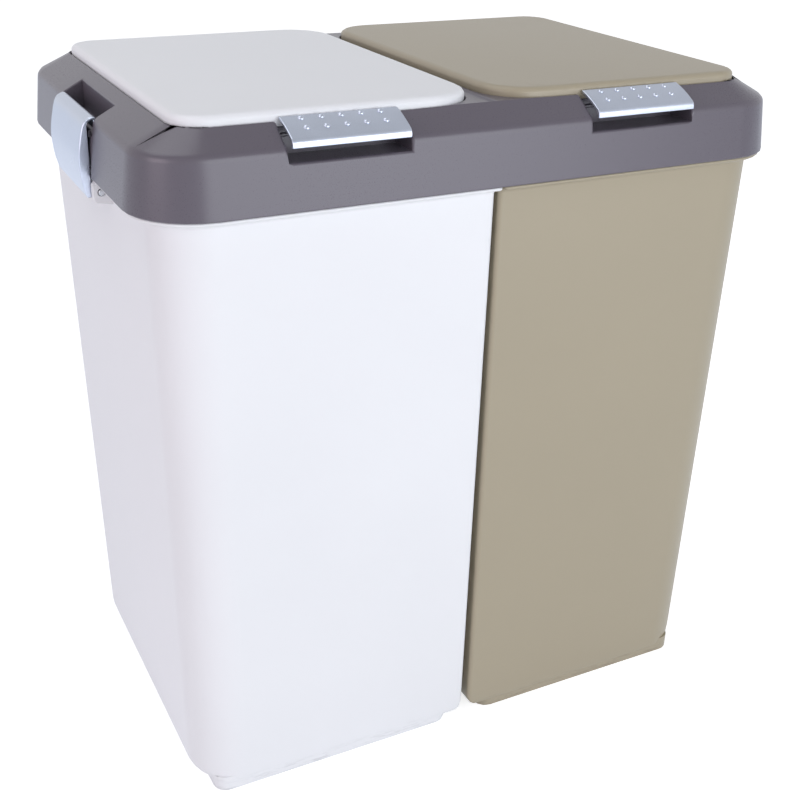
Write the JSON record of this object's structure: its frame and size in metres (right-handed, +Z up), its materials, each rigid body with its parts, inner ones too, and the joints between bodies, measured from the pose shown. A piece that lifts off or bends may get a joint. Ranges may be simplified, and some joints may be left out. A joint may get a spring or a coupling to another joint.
{
  "type": "double recycling bin",
  "caption": "Two waste buckets side by side under one frame, each with its own hinged lid and lift catch, held down by a latch on each side.",
  "frame": {"origin": "on the floor, in the middle of the bin", "axes": "+X across the pair from the white bucket to the tan one, +Y to the back where the lids hinge, +Z up"},
  "size_m": [0.533, 0.358, 0.5465],
  "materials": {
    "white_plastic": "satin moulded, off-white",
    "tan_plastic": "satin moulded, warm tan",
    "grey_plastic": "satin moulded, warm grey",
    "silver_finish": "silver lacquer",
    "steel": "plain drawn rod"
  },
  "bodies": {
    "bin": {"left_bucket": "white_plastic", "right_bucket": "tan_plastic", "top_frame": "grey_plastic", "left_lid_pin_inner": "steel", "left_lid_pin_outer": "steel", "right_lid_pin_inner": "steel", "right_lid_pin_outer": "steel", "left_latch_pin": "steel", "right_latch_pin": "steel"},
    "left_lid": {"left_lid": "white_plastic", "left_plate_pin": "steel"},
    "right_lid": {"right_lid": "tan_plastic", "right_plate_pin": "steel"},
    "left_catch_plate": {"left_catch_plate": "silver_finish"},
    "right_catch_plate": {"right_catch_plate": "silver_finish"},
    "left_latch": {"left_latch": "silver_finish"},
    "right_latch": {"right_latch": "silver_finish"}
  },
  "joints": [
    {"name": "left_lid_hinge", "type": "hinge", "parent": "bin", "child": "left_lid", "pos_m": [-0.11725, 0.1552, 0.5385], "axis": [-1, 0, 0], "range_deg": [0, 95]},
    {"name": "right_lid_hinge", "type": "hinge", "parent": "bin", "child": "right_lid", "pos_m": [0.11725, 0.1552, 0.5385], "axis": [-1, 0, 0], "range_deg": [0, 95]},
    {"name": "left_catch_pivot", "type": "hinge", "parent": "left_lid", "child": "left_catch_plate", "pos_m": [-0.11725, -0.1565, 0.5362], "axis": [-1, 0, 0], "range_deg": [0, 8]},
    {"name": "right_catch_pivot", "type": "hinge", "parent": "right_lid", "child": "right_catch_plate", "pos_m": [0.11725, -0.1565, 0.5362], "axis": [-1, 0, 0], "range_deg": [0, 8]},
    {"name": "left_latch_pivot", "type": "hinge", "parent": "bin", "child": "left_latch", "pos_m": [-0.2543, 0, 0.476], "axis": [0, -1, 0], "range_deg": [0, 100]},
    {"name": "right_latch_pivot", "type": "hinge", "parent": "bin", "child": "right_latch", "pos_m": [0.2543, 0, 0.476], "axis": [0, 1, 0], "range_deg": [0, 100]}
  ]
}
